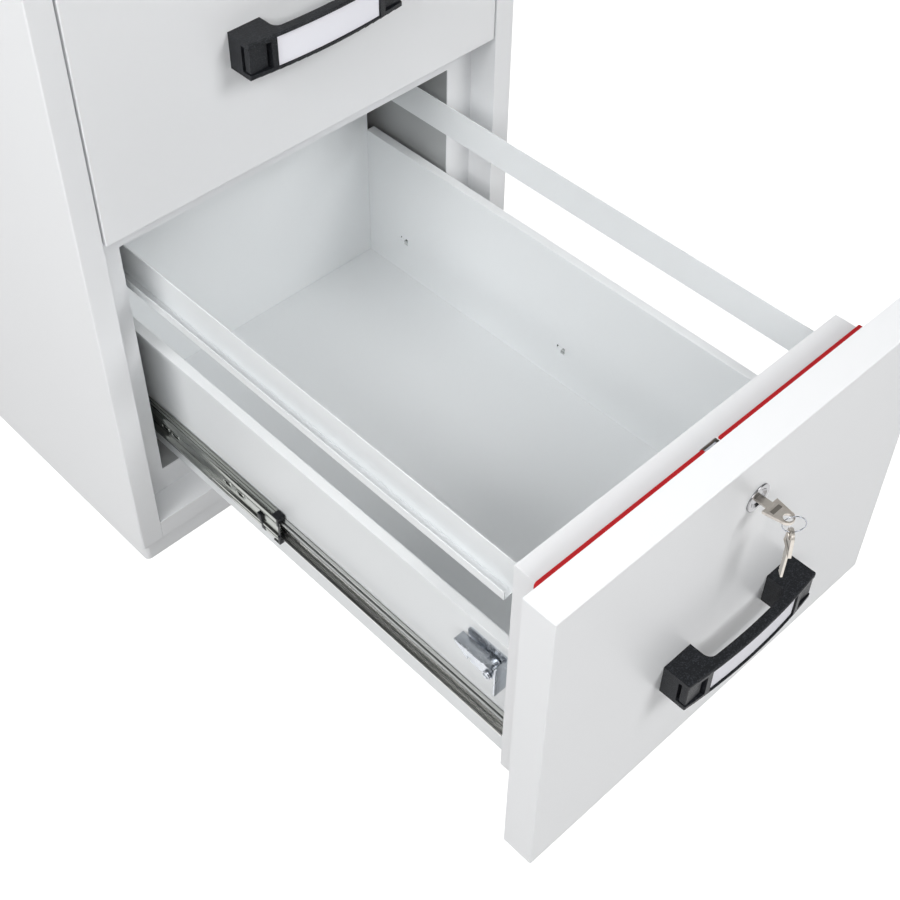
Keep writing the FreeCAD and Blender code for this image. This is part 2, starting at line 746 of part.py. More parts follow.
def handle():
    """Moulded bow handle with a window for a label and a square window round each outer corner."""
    half = HANDLE_W / 2
    foot = half - HANDLE_FOOT_W
    end = -front_depth(half, 0)
    root_m = -front_depth(foot - GRIP_ROOT_R, GRIP_T)
    turn = foot - GRIP_ROOT_R
    side = math.cos(math.radians(45)) * GRIP_ROOT_R
    edges = [
        line_edge((-half, 0), (-half, end)),
        arc_edge([(-half, end), (0, -HANDLE_MID_D), (half, end)]),
        line_edge((half, end), (half, 0)),
        line_edge((half, 0), (foot, 0)),
        line_edge((foot, 0), (foot, root_m + GRIP_ROOT_R)),
        arc_edge([(foot, root_m + GRIP_ROOT_R), (turn + side, root_m + GRIP_ROOT_R - side), (turn, root_m)]),
        arc_edge([(turn, root_m), (0, -HANDLE_MID_D + GRIP_T), (-turn, root_m)]),
        arc_edge([(-turn, root_m), (-turn - side, root_m + GRIP_ROOT_R - side), (-foot, root_m + GRIP_ROOT_R)]),
        line_edge((-foot, root_m + GRIP_ROOT_R), (-foot, 0)),
        line_edge((-foot, 0), (-half, 0)),
    ]
    body = Part.Face(Part.Wire(edges)).extrude(FreeCAD.Vector(0, 0, HANDLE_H))
    body = rounded(body, HANDLE_EDGE_R, lambda e: e.BoundBox.YMax < front_y - NEAR and (
        runs_along(e, 2) and abs(e.BoundBox.XMin) > half - NEAR or e.BoundBox.XLength > HANDLE_W - 1))
    body = body.cut(label_space(0, LABEL_DEEP, 0))
    for place in (-1, 1):
        body = body.cut(cap_window(place))
    return body.cut(handle_screw_holes(-HANDLE_SCREW_IN, 1, HANDLE_SCREW_D))


def label_space(near, far, fit):
    """Part of the bowed front between two depths below its surface, over the label's width and height."""
    half = LABEL_W / 2 - fit
    outer = -HANDLE_MID_D - 1 if near == 0 else -front_depth(0, near)
    outer_end = outer if near == 0 else -front_depth(half, near)
    inner_end = -front_depth(half, far)
    edges = [
        arc_edge([(-half, inner_end), (0, -front_depth(0, far)), (half, inner_end)]),
        line_edge((half, inner_end), (half, outer_end)),
        line_edge((-half, outer_end), (-half, inner_end)),
    ]
    if near == 0:
        edges.insert(2, line_edge((half, outer_end), (-half, outer_end)))
    else:
        edges.insert(2, arc_edge([(half, outer_end), (0, outer), (-half, outer_end)]))
    high = LABEL_H - 2 * fit
    solid = Part.Face(Part.Wire(edges)).extrude(FreeCAD.Vector(0, 0, high))
    solid.translate(FreeCAD.Vector(0, 0, (HANDLE_H - high) / 2))
    return solid


def label_card():
    return label_space(LABEL_DEEP - LABEL_T, LABEL_DEEP, LABEL_FIT)


def cap_window(place):
    half = HANDLE_W / 2
    low = handle_mid - CAP_WINDOW_H / 2
    return block(place * (half - CAP_WINDOW_W), place * (half + 1), -HANDLE_END_D + CAP_WINDOW_D,
                 -HANDLE_MID_D - 1, low, low + CAP_WINDOW_H)


def handle_caps():
    """Square caps that sit a little below the surface in the corner windows."""
    half = HANDLE_W / 2
    pieces = []
    high = CAP_WINDOW_H / 2 - CAP_SUNK
    seat = -HANDLE_END_D + CAP_WINDOW_D
    cap = block(half - CAP_WINDOW_W + CAP_SLIT, half - CAP_SUNK, seat - CAP_SLIT, -HANDLE_END_D + CAP_SUNK,
                handle_mid - high, handle_mid + high)
    cap = rounded(cap, CAP_SUNK, lambda e: e.BoundBox.YMax < front_y - HANDLE_END_D + CAP_SUNK + NEAR)
    middle = half - CAP_WINDOW_W / 2
    stem = CAP_STEM / 2
    post = block(middle - stem, middle + stem, seat, seat - CAP_SLIT, handle_mid - stem, handle_mid + stem)
    cap = cap.fuse(post)
    pieces += pair(cap.removeSplitter())
    return pieces


def handle_screws():
    """Screws through the drawer front into the feet of the handle."""
    pieces = []
    for side in (-1, 1):
        x = side * HANDLE_SCREW_X
        shank = rod(point(x, -HANDLE_SCREW_IN, handle_mid), out_y, HANDLE_SCREW_D, HANDLE_SCREW_IN + SKIN_T)
        head = rod(point(x, SKIN_T, handle_mid), out_y, HANDLE_SCREW_HEAD_D, HANDLE_SCREW_HEAD_T)
        pieces.append(shank.fuse(head))
    return pieces


# Lock

def lock_housing():
    """Turned housing with a dished rose that clamps the drawer front."""
    tube = housing_rod(0, HOUSING_BACK, 0)
    rose = rod(point(0, -ESCUTCHEON_T, lock_z), out_y, ESCUTCHEON_D, ESCUTCHEON_T)
    rose = rounded(rose, ESCUTCHEON_EDGE_R, lambda e: e.BoundBox.YMax < front_y - ESCUTCHEON_T + NEAR)
    dish = Part.makeCone(DISH_D / 2, BARREL_D / 2, DISH_DEEP, point(0, -ESCUTCHEON_T - 0.01, lock_z), out_y)
    bore = rod(point(0, -ESCUTCHEON_T - 1, lock_z), out_y, BARREL_D, HOUSING_BACK + ESCUTCHEON_T + 2)
    return tube.fuse(rose).cut(dish).cut(bore).removeSplitter()


def lock_barrel():
    """Barrel with its keyway, and the cam and peg that lift the bolt."""
    radius = BARREL_D / 2 - BARREL_FIT
    barrel = rod(point(0, 0, lock_z), out_y, 2 * radius, cam_start)
    root = CAM_W / 2
    tip = CAM_TIP_W / 2
    arm = face_of([
        point(0, cam_start, lock_z - root), point(-CAM_THROW, cam_start, lock_z - tip),
        point(-CAM_THROW, cam_start, lock_z + tip), point(0, cam_start, lock_z + root),
    ])
    cam = arm.extrude(out_y * CAM_T)
    cam = cam.fuse(rod(point(0, cam_start, lock_z), out_y, CAM_W, CAM_T))
    cam = cam.fuse(rod(point(-CAM_THROW, cam_start, lock_z), out_y, CAM_TIP_W, CAM_T))
    peg = rod(point(-CAM_THROW, cam_end, lock_z), out_y, PEG_D, PEG_LONG)
    way = KEY_BLADE_LONG - KEY_OUT + 1
    half_w_way = KEY_BLADE_W / 2 + KEYWAY_FIT
    half_t_way = KEY_BLADE_T / 2 + KEYWAY_FIT
    keyway = block(-half_w_way, half_w_way, -1, way, lock_z - half_t_way, lock_z + half_t_way)
    return barrel.cut(keyway).fuse(cam).fuse(peg).removeSplitter()


def lock_bolt():
    """Flat bolt that rises through the top of the plug into the keeper."""
    bolt = block(-BOLT_W / 2, BOLT_W / 2, bolt_start, bolt_end, bolt_low, bolt_top)
    return rounded(bolt, BOLT_EDGE_R, lambda e: e.BoundBox.ZMin > bolt_top - NEAR)


# Keys, drawn lying flat with the bow towards -Y, and moved to where they are

def key_blank():
    """A key from the tip of its bow, at the origin, to the end of its blade along +Y."""
    t = KEY_T / 2
    tip = KEY_TIP_W / 2
    base = KEY_BOW_W / 2
    start = tip
    top = [FreeCAD.Vector(-base, KEY_BOW_LONG, -t), FreeCAD.Vector(-tip, start, -t),
           FreeCAD.Vector(0, 0, -t), FreeCAD.Vector(tip, start, -t), FreeCAD.Vector(base, KEY_BOW_LONG, -t)]
    outline = Part.Wire([
        Part.makeLine(top[0], top[1]),
        Part.Arc(top[1], top[2], top[3]).toShape(),
        Part.makeLine(top[3], top[4]),
        Part.makeLine(top[4], top[0]),
    ])
    bow = Part.Face(outline).extrude(FreeCAD.Vector(0, 0, KEY_T))
    hole_y = KEY_RIM + KEY_HOLE_R
    hole = Part.makeCylinder(KEY_HOLE_R, KEY_T * 2, FreeCAD.Vector(0, hole_y, -KEY_T), out_z)
    bow = bow.cut(hole)
    strip_y = KEY_BOW_LONG - KEY_STRIP_BACK
    for side in (t - KEY_STRIP_DEEP, -t):
        corner = FreeCAD.Vector(-KEY_STRIP_LONG / 2, strip_y - KEY_STRIP_HIGH, side)
        bow = bow.cut(Part.makeBox(KEY_STRIP_LONG, KEY_STRIP_HIGH, KEY_STRIP_DEEP, corner))
    corner = FreeCAD.Vector(-KEY_BLADE_W / 2, KEY_BOW_LONG - 1, -KEY_BLADE_T / 2)
    blade = Part.makeBox(KEY_BLADE_W, KEY_BLADE_LONG + 1, KEY_BLADE_T, corner)
    for i in range(KEY_CUTS):
        y = KEY_BOW_LONG + KEY_OUT + KEY_CUT_START + i * KEY_CUT_PITCH
        radius = KEY_CUT_RADII[i % len(KEY_CUT_RADII)]
        at = FreeCAD.Vector(KEY_BLADE_W / 2, y, -KEY_BLADE_T)
        blade = blade.cut(Part.makeCylinder(radius, 2 * KEY_BLADE_T, at, out_z))
    return bow.fuse(blade).removeSplitter()


def key():
    solid = key_blank()
    solid.translate(point(0, -KEY_OUT - KEY_BOW_LONG, lock_z))
    return solid


ring_side = FreeCAD.Vector(math.sin(math.radians(RING_TURN)), -math.cos(math.radians(RING_TURN)), 0)
ring_normal = FreeCAD.Vector(math.cos(math.radians(RING_TURN)), math.sin(math.radians(RING_TURN)), 0)


def ring_centre():
    hole = point(0, -KEY_OUT - KEY_BOW_LONG + KEY_RIM + KEY_HOLE_R, lock_z)
    return hole + ring_side * RING_ASIDE - out_z * RING_DROP


def key_ring():
    return Part.makeTorus(RING_R, RING_WIRE / 2, ring_centre(), ring_normal)


def spare_hole():
    """Centre of the spare key's hole, where it hangs on the bottom of the ring."""
    drop = RING_R + KEY_HOLE_R - RING_WIRE / 2 - SPARE_SLACK
    return ring_centre() - out_z * drop


def spare_key():
    solid = key_blank()
    solid.translate(FreeCAD.Vector(0, -KEY_RIM - KEY_HOLE_R, 0))
    solid.rotate(FreeCAD.Vector(0, 0, 0), out_x, -90)
    solid.rotate(FreeCAD.Vector(0, 0, 0), out_z, RING_TURN)
    solid.translate(spare_hole())
    return solid


# Catch, on the left wall of the tray

def latch_bracket():
    t = CATCH_SHEET
    wall = -tray_half
    start = plug_end + CATCH_FRONT_BACK
    low = pivot_z - CATCH_PLATE_LOW
    plate = block(wall, wall - t, start, start + CATCH_PLATE_LONG, low, pivot_z + CATCH_PLATE_HIGH)
    plate = rounded(plate, CATCH_PLATE_R, lambda e: runs_along(e, 0) and e.BoundBox.YMin > front_y + start + t)
    flange = block(wall - t / 2, wall - CATCH_FLANGE_OUT, start, start + t, low, pivot_z + CATCH_FLANGE_TOP)
    flange = rounded(flange, CATCH_FLANGE_R, lambda e: runs_along(e, 1) and e.BoundBox.XMax < wall - t)
    return plate.fuse(flange).removeSplitter()


hook_inner = -tray_half - CATCH_SHEET - HOOK_SIDE_GAP
hook_outer = hook_inner - HOOK_W


def latch_hook():
    """Channel-shaped hook: a tooth with a sloping nose, a notch, and eyes on the pivot."""
    t = HOOK_SHEET

    def side_plate(x):
        def at(dm, dz):
            return point(x, pivot_m + dm, pivot_z + dz)
        outline = face_of([
            at(-HOOK_EYE_R, HOOK_EYE_TOP), at(-HOOK_EYE_R, -HOOK_LOW + HOOK_CHAMFER),
            at(-HOOK_EYE_R + HOOK_CHAMFER, -HOOK_LOW),
            at(TOOTH_AT - NOTCH_W, -HOOK_LOW), at(TOOTH_AT - NOTCH_W, -HOOK_LOW + NOTCH_UP),
            at(TOOTH_AT, -HOOK_LOW + NOTCH_UP), at(TOOTH_AT, -HOOK_LOW),
            at(HOOK_LONG, HOOK_TOP - t), at(HOOK_LONG, HOOK_TOP), at(HOOK_NECK - HOOK_EYE_R, HOOK_TOP),
        ])
        return outline.extrude(FreeCAD.Vector(t, 0, 0))

    top = block(hook_outer, hook_inner, pivot_m + HOOK_OPEN_TOP, pivot_m + HOOK_LONG, pivot_z + HOOK_TOP - t,
                pivot_z + HOOK_TOP)
    hook = top.fuse(side_plate(hook_outer)).fuse(side_plate(hook_inner - t))
    hole = rod(point(hook_outer - 1, pivot_m, pivot_z), out_x, PIVOT_D + 2 * PIVOT_FIT, HOOK_W + 2)
    hook = hook.cut(hole).removeSplitter()
    return rounded(hook, HOOK_EDGE_R, lambda e: (
        runs_along(e, 1) and e.BoundBox.ZMin > pivot_z + HOOK_TOP - NEAR
        and (e.BoundBox.XMin < hook_outer + NEAR or e.BoundBox.XMin > hook_inner - NEAR)
        and e.BoundBox.YLength > HOOK_LONG - HOOK_OPEN_TOP - 1))


def helix_points(turns, pitch_x, radius, start_x, start_turn):
    """Points of a coil round the pivot, SPRING_STEPS to a turn, from its first end."""
    places = []
    for i in range(int(turns * SPRING_STEPS) + 1):
        angle = start_turn + i * 2 * math.pi / SPRING_STEPS
        x = start_x + pitch_x * i / SPRING_STEPS
        places.append(point(x, pivot_m + radius * math.cos(angle), pivot_z + radius * math.sin(angle)))
    return places


def latch_spring():
    """Torsion spring round the pivot, one unbroken wire with a leg at each end."""
    length = SPRING_TURNS * SPRING_PITCH
    start_x = (hook_outer + hook_inner) / 2 - length / 2
    places = helix_points(SPRING_TURNS + SPRING_LAST_TURN, SPRING_PITCH, SPRING_R, start_x, math.pi)
    edges = []
    tail = places[0] + FreeCAD.Vector(0, 0, SPRING_TAIL)
    edges.append(Part.makeLine(tail, places[0]))
    for i in range(0, len(places) - 2, 2):
        edges.append(Part.Arc(places[i], places[i + 1], places[i + 2]).toShape())
    last = places[-1] + FreeCAD.Vector(0, 0, -SPRING_LEG)
    edges.append(Part.makeLine(places[-1], last))
    path = Part.Wire(edges)
    circle = Part.Wire([Part.makeCircle(SPRING_WIRE / 2, tail, FreeCAD.Vector(0, 0, -1))])
    maker = Part.BRepOffsetAPI.MakePipeShell(path)
    maker.add(circle)
    maker.build()
    maker.makeSolid()
    gap = SPRING_PITCH - SPRING_WIRE
    print("latch spring: least gap between turns", round(coil_gap(places), 3), "mm, pitch gap", round(gap, 3))
    return maker.shape()


def coil_gap(places):
    """Least gap between the spring's wire and the same wire a turn further on."""
    least = min((places[i + 8] - places[i]).Length for i in range(len(places) - 8))
    return least - SPRING_WIRE


def latch_pivot():
    """Headed pin through the eyes of the hook, with its spring."""
    plate = -tray_half - CATCH_SHEET
    length = plate - hook_outer + HOOK_SIDE_GAP / 2
    pin = rod(point(plate - length, pivot_m, pivot_z), out_x, PIVOT_D, length)
    head = rod(point(plate - length - PIVOT_HEAD_T, pivot_m, pivot_z), out_x, PIVOT_HEAD_D, PIVOT_HEAD_T)
    head = rounded(head, PIVOT_HEAD_R, lambda e: e.BoundBox.XMax < plate - length - PIVOT_HEAD_T + NEAR)
    return [pin.fuse(head).removeSplitter(), latch_spring()]


# Export

def parts_of(shape):
    return shape if isinstance(shape, list) else [shape]


def save(name, shape, opened=0.0, up=0.0):
    """Write one node. opened moves it out with its drawer, and up lifts it to its level."""
    solids = []
    for piece in parts_of(shape):
        copy = piece.copy()
        copy.translate(FreeCAD.Vector(0, -opened, up))
        solids += copy.Solids
    for solid in solids:
        if not solid.isValid() or solid.Volume <= 0:
            print("bad solid in", name)
    whole = Part.makeCompound(solids) if len(solids) > 1 else solids[0]
    whole.exportStep("parts/" + name + ".step")
    print(name, len(solids), "solids", round(whole.Volume / 1000, 2), "cm3")


os.makedirs("parts", exist_ok=True)

save("outer_shell", outer_shell())
save("front_frame", front_frame())
save("bottom_plate", bottom_plate())
save("rear_panel", rear_panel())
save("plinth", plinth())
save("wall_insulation", wall_insulation())
save("lower_liner", inner_liner(0))
save("upper_liner", inner_liner(pitch))
save("bolt_keepers", bolt_keepers())
save("latch_strikes", latch_strikes())
save("runner_brackets", runner_brackets())
save("runner_screws", runner_screws())
save("cabinet_slides", cabinet_slides())

# Each drawer's pieces, with the share of the drawer's travel that they move by
DRAWER_PIECES = (
    ("face_shell", face_shell(), 1),
    ("plug_shell", plug_shell(), 1),
    ("insulation", insulation(), 1),
    ("heat_seal", heat_seal(), 1),
    ("tray", tray(), 1),
    ("tray_back", tray_back(), 1),
    ("file_rails", file_rails(), 1),
    ("handle", handle(), 1),
    ("handle_caps", handle_caps(), 1),
    ("label_card", label_card(), 1),
    ("handle_screws", handle_screws(), 1),
    ("lock_housing", lock_housing(), 1),
    ("lock_barrel", lock_barrel(), 1),
    ("lock_bolt", lock_bolt(), 1),
    ("latch_bracket", latch_bracket(), 1),
    ("latch_hook", latch_hook(), 1),
    ("latch_pivot", latch_pivot(), 1),
    ("drawer_slides", drawer_slides(), 1),
    ("middle_slides", middle_slides(), MIDDLE_RATIO),
    ("slide_bumpers", slide_bumpers(), MIDDLE_RATIO),
    ("outer_cages", outer_cages(), MIDDLE_RATIO / 2),
    ("inner_cages", inner_cages(), (1 + MIDDLE_RATIO) / 2),
)

for level, (prefix, travel) in enumerate((("lower", DRAWER_TRAVEL), ("upper", 0.0))):
    for piece_name, piece, share in DRAWER_PIECES:
        save(prefix + "_" + piece_name, piece, travel * share, level * pitch)

save("key", key(), DRAWER_TRAVEL)
save("key_ring", key_ring(), DRAWER_TRAVEL)
save("spare_key", spare_key(), DRAWER_TRAVEL)
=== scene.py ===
import json
import math

import bpy
from mathutils import Matrix, Vector


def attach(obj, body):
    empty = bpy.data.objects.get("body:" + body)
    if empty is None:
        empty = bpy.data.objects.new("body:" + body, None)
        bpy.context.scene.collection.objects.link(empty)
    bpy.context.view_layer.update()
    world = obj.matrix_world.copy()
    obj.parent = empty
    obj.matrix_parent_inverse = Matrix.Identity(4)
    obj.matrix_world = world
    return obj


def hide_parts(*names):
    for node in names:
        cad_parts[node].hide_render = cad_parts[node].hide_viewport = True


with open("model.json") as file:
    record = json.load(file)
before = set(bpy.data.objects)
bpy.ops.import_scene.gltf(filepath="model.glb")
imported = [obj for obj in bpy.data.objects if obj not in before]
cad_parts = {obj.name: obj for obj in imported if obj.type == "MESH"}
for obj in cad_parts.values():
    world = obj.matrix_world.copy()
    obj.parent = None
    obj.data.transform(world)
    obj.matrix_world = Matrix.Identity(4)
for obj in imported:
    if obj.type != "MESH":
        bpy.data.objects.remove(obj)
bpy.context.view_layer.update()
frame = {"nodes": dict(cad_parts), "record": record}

record = frame["record"]
scene = bpy.context.scene
bpy.ops.object.select_all(action="DESELECT")

# The camera stands in front of the left corner, well above the cabinet, and looks down into
# the open lower drawer. The frame cuts the top of the cabinet off, as the photograph does.
CAMERA_PLACE = (-0.7245, -1.3075, 1.2816)
CAMERA_TILT = 43.28
CAMERA_TURN = -43.266
CAMERA_LENS = 59.36
FRAMING_SHIFT = (0.0258, -0.0388)

camera = bpy.data.objects.new("camera", bpy.data.cameras.new("camera"))
scene.collection.objects.link(camera)
camera.location = CAMERA_PLACE
camera.rotation_euler = (math.radians(CAMERA_TILT), 0, math.radians(CAMERA_TURN))
camera.data.lens = CAMERA_LENS
camera.data.sensor_width = 36
camera.data.shift_x, camera.data.shift_y = FRAMING_SHIFT
camera.data.clip_start = 0.01
scene.camera = camera

# The studio is a white floor under a dim sky. Wide soft lights stand in front, at the left and behind, so the tray is
# bright and the bay behind it is not; the liners' darker coat adds painted shade there.
# A pale backdrop shows in the metal.
SKY = 0.05
BELOW_SKY = 0.26
FLOOR_GLOW = 1.0
FLOOR_WIDTH = 14
LIGHTS = (
    ("front", (1.9, -4.5, 3.7), (0, -0.4, 0.4), 2.3, 139),
    ("left", (-2.6, -0.9, 2.4), (0, -0.4, 0.4), 1.6, 66),
    ("front_left", (-2.0, -2.8, 2.2), (0, -0.4, 0.4), 1.6, 35),
    ("behind", (-0.4, 1.4, 3.0), (0, -0.4, 0.4), 1.6, 32),
    ("overhead", (-0.9, -1.5, 2.9), (0, -0.4, 0.4), 2.2, 8),
    ("backdrop", (1.9, 1.5, 3.1), (0, -0.6, 0.3), 3.4, 34),
)
scene.view_settings.view_transform = "Standard"
scene.world = bpy.data.worlds.new("studio")
scene.world.use_nodes = True
sky_nodes = scene.world.node_tree.nodes
sky_links = scene.world.node_tree.links
direction = sky_nodes.new("ShaderNodeTexCoord")
height = sky_nodes.new("ShaderNodeSeparateXYZ")
fade = sky_nodes.new("ShaderNodeMapRange")
fade.inputs["From Min"].default_value = -0.25
fade.inputs["From Max"].default_value = 0.15
fade.inputs["To Min"].default_value = BELOW_SKY
fade.inputs["To Max"].default_value = SKY
sky_links.new(direction.outputs["Generated"], height.inputs["Vector"])
sky_links.new(height.outputs["Z"], fade.inputs["Value"])
sky_links.new(fade.outputs["Result"], sky_nodes["Background"].inputs["Strength"])
sky_nodes["Background"].inputs["Color"].default_value = (1, 1, 1, 1)

for light_name, place, target, width, power in LIGHTS:
    lamp = bpy.data.lights.new(light_name, "AREA")
    lamp.size = width
    lamp.energy = power
    lamp_object = bpy.data.objects.new(light_name, lamp)
    scene.collection.objects.link(lamp_object)
    lamp_object.location = place
    lamp_object.rotation_euler = (Vector(target) - Vector(place)).to_track_quat("-Z", "Y").to_euler()
    lamp_object.visible_diffuse = light_name != "backdrop"

bpy.ops.mesh.primitive_plane_add(size=FLOOR_WIDTH, location=(0, 0, 0))
floor = bpy.context.active_object
floor.name = "floor"
floor.visible_diffuse = False


class Wire:
    """A socket of a finish's nodes, so that masks and heights can be worked out as plain sums."""

    def __init__(self, tree, socket):
        self.tree = tree
        self.socket = socket

    def sum(self, operation, first, second):
        node = self.tree.nodes.new("ShaderNodeMath")
        node.operation = operation
        for socket, value in zip(node.inputs, (first, second)):
            plug(self.tree, socket, value)
        return Wire(self.tree, node.outputs[0])

    def __add__(self, other):
        return self.sum("ADD", self, other)

    def __radd__(self, other):
        return self.sum("ADD", other, self)

    def __sub__(self, other):
        return self.sum("SUBTRACT", self, other)

    def __rsub__(self, other):
        return self.sum("SUBTRACT", other, self)

    def __mul__(self, other):
        return self.sum("MULTIPLY", self, other)

    def __rmul__(self, other):
        return self.sum("MULTIPLY", other, self)


def plug(tree, socket, value):
    """Link a wire into a socket, or set the socket to a plain value."""
    if isinstance(value, Wire):
        tree.links.new(value.socket, socket)
    else:
        socket.default_value = value


class Finish:
    """One surface finish: a material, its shader, and a way to add any node to it."""

    def __init__(self, name, **values):
        self.material = bpy.data.materials.new(name)
        self.material.use_nodes = True
        self.tree = self.material.node_tree
        self.shader = self.tree.nodes["Principled BSDF"]
        self.feed({key.replace("_", " ").title().replace("Ior", "IOR"): value for key, value in values.items()})

    def feed(self, sockets):
        for name, value in sockets.items():
            plug(self.tree, self.shader.inputs[name], value)

    def node(self, kind, settings=None, sockets=None, out=0):
        node = self.tree.nodes.new(kind)
        for key, value in (settings or {}).items():
            if key == "stops":
                ramp = node.color_ramp
                while len(ramp.elements) < len(value):
                    ramp.elements.new(0.5)
                for element, (place, colour) in zip(ramp.elements, value):
                    element.position = place
                    element.color = colour
            else:
                setattr(node, key, value)
        for name, value in (sockets or {}).items():
            plug(self.tree, node.inputs[name], value)
        return Wire(self.tree, node.outputs[out])

    def place(self, scale=(1, 1, 1)):
        """Object coordinates in metres, stretched by scale."""
        where = self.node("ShaderNodeTexCoord", out=3)
        return self.node("ShaderNodeMapping", None, {"Vector": where, "Scale": scale})

    def noise(self, size, detail=2.0, stretch=(1, 1, 1)):
        """Cloudy noise from 0 to 1 whose blots are about size metres across."""
        return self.node("ShaderNodeTexNoise", None, {
            "Vector": self.place(stretch), "Scale": 1 / size, "Detail": detail})

    def between(self, mask, low, high):
        """A colour that runs from low to high as mask runs from 0 to 1."""
        return self.node("ShaderNodeMix", {"data_type": "RGBA"}, {0: mask, 6: low, 7: high}, out=2)

    def bump(self, height, depth, strength=1.0):
        return self.node("ShaderNodeBump", None, {"Height": height, "Distance": depth, "Strength": strength})


floor_finish = Finish("floor_paper", roughness=0.9, specular_ior_level=0.1)
floor_finish.feed({
    "Base Color": (0.35, 0.35, 0.35, 1),
    "Emission Color": (1, 1, 1, 1),
    "Emission Strength": FLOOR_GLOW,
})
floor.data.materials.append(floor_finish.material)

# The outer skin is folded from one sheet: two sides, the top and the stiles beside the faces.
# It is powder coated light grey. The coat is semi-gloss, with the fine skin of an orange.
BODY_GREY = (0.83, 0.84, 0.852, 1)
BODY_GREY_PALE = (0.845, 0.855, 0.867, 1)
COAT_ROUGHNESS = 0.36
COAT_GRAIN = 0.0011
COAT_BUMP = 0.00005


def powder_coat(name, grey, pale):
    coat = Finish(name)
    cloud = coat.noise(0.35, 3)
    grain = coat.noise(COAT_GRAIN, 2)
    fine = coat.noise(COAT_GRAIN * 0.35, 1)
    coat.feed({
        "Base Color": coat.between(cloud * 0.7 + grain * 0.3, grey, pale),
        "Roughness": COAT_ROUGHNESS + (cloud - 0.5) * 0.08 + (grain - 0.5) * 0.10,
        "Normal": coat.bump(grain + fine * 0.35, COAT_BUMP, 0.6),
    })
    return coat.material


body_paint = powder_coat("body_powder_coat", BODY_GREY, BODY_GREY_PALE)

node_body = {}
for body_name, held in record["behaviour"]["bodies"].items():
    for held_node in held:
        node_body[held_node] = body_name
node_slot = {entry["node"]: entry["material_slot"] for entry in record["subparts"]}


def edged_copy(node, edge, material, segments=2, rim=None):
    """Copy of a CAD piece with its sharp edges rounded, which stands for that piece."""
    piece = bpy.data.objects.new(node + "_finished", frame["nodes"][node].data.copy())
    scene.collection.objects.link(piece)
    bpy.ops.object.select_all(action="DESELECT")
    piece.select_set(True)
    bpy.context.view_layer.objects.active = piece
    piece.data.materials.clear()
    piece.data.materials.append(material)
    if rim:
        piece.data.materials.append(rim)
    bpy.ops.mesh.customdata_custom_splitnormals_clear()
    bpy.ops.object.mode_set(mode="EDIT")
    bpy.ops.mesh.select_all(action="SELECT")
    bpy.ops.mesh.remove_doubles(threshold=0.000001)
    bpy.ops.mesh.tris_convert_to_quads(face_threshold=math.radians(0.4), shape_threshold=math.radians(180))
    bpy.ops.object.mode_set(mode="OBJECT")
    rounding = piece.modifiers.new("edges", "BEVEL")
    rounding.width = edge
    rounding.segments = segments
    rounding.limit_method = "ANGLE"
    rounding.angle_limit = math.radians(40)
    rounding.miter_outer = "MITER_ARC"
    if rim:
        rounding.material = 1
    bpy.ops.object.modifier_apply(modifier=rounding.name)
    bpy.ops.object.shade_smooth_by_angle(angle=math.radians(35))
    flat = piece.modifiers.new("flat", "WEIGHTED_NORMAL")
    flat.keep_sharp = True
    bpy.ops.object.modifier_apply(modifier=flat.name)
    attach(piece, node_body[node])
    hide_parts(node)
    return piece


edged_copy("outer_shell", 0.0007, body_paint)
edged_copy("rear_panel", 0.0003, body_paint)

# The sill, the seat plate behind the faces and the crossbar are one folded and punched sheet.
# The bays behind its openings are lined with steel. Their coat is a darker copy of the body's: painted shade for the
# inside of the bays.
edged_copy("front_frame", 0.0009, body_paint)
# Painted shade: the liners are darker than the body, standing in for the shade inside the bays.
LINER_SHADE_GREY = (0.40, 0.41, 0.412, 1)
LINER_SHADE_GREY_PALE = (0.44, 0.45, 0.452, 1)
liner_painted_shade = powder_coat("liner_painted_shade_coat", LINER_SHADE_GREY, LINER_SHADE_GREY_PALE)
for liner in ("lower_liner", "upper_liner"):
    edged_copy(liner, 0.0003, liner_painted_shade)
edged_copy("runner_brackets", 0.0004, body_paint)

# The plinth is a shallow pan with rounded corners, a little smaller than the body that stands
# on it. The same paint covers it.
edged_copy("plinth", 0.0006, body_paint)

# Each drawer front is a pressed pan closed by a back plate with a raised insulated plug.
# Both are powder coated like the body.
for level in ("lower", "upper"):
    edged_copy(level + "_face_shell", 0.0004, body_paint)
    edged_copy(level + "_plug_shell", 0.0009, body_paint, 3)

# The tray, its taller back and the rails for hanging files are folded from thinner sheet.
# Their coat is a shade cooler than the body's.
TRAY_GREY = (0.81, 0.83, 0.84, 1)
TRAY_GREY_PALE = (0.825, 0.845, 0.855, 1)
tray_paint = powder_coat("tray_powder_coat", TRAY_GREY, TRAY_GREY_PALE)
for level in ("lower", "upper"):
    edged_copy(level + "_tray", 0.0005, tray_paint)
    edged_copy(level + "_tray_back", 0.0005, tray_paint)
    edged_copy(level + "_file_rails", 0.0004, tray_paint)

# The heat seal is a strip of red swelling compound, glued round the plug.
SEAL_SWELL = 0.0022
SEAL_RED = (0.60, 0.012, 0.016, 1)
SEAL_RED_DULL = (0.50, 0.014, 0.018, 1)
seal_red = Finish("heat_seal_red", specular_ior_level=0.25)
seal_grain = seal_red.noise(0.0009, 3)
seal_red.feed({
    "Base Color": seal_red.between(seal_grain, SEAL_RED, SEAL_RED_DULL),
    "Roughness": 0.62 + seal_grain * 0.2,
    "Normal": seal_red.bump(seal_grain, 0.00012),
})
for level in ("lower", "upper"):
    seal = edged_copy(level + "_heat_seal", 0.0006, seal_red.material)
    depth = [vertex.co.y for vertex in seal.data.vertices]
    for vertex in seal.data.vertices:
        if vertex.co.y > (min(depth) + max(depth)) / 2:
            vertex.co.y += SEAL_SWELL

# The bow handle is moulded in charcoal plastic with a fine spark grain. Its edges are polished
# by the mould. A window along its front holds a white card, and each corner a square cap.
CHARCOAL = (0.006, 0.007, 0.009, 1)
CHARCOAL_FLECK = (0.06, 0.065, 0.075, 1)


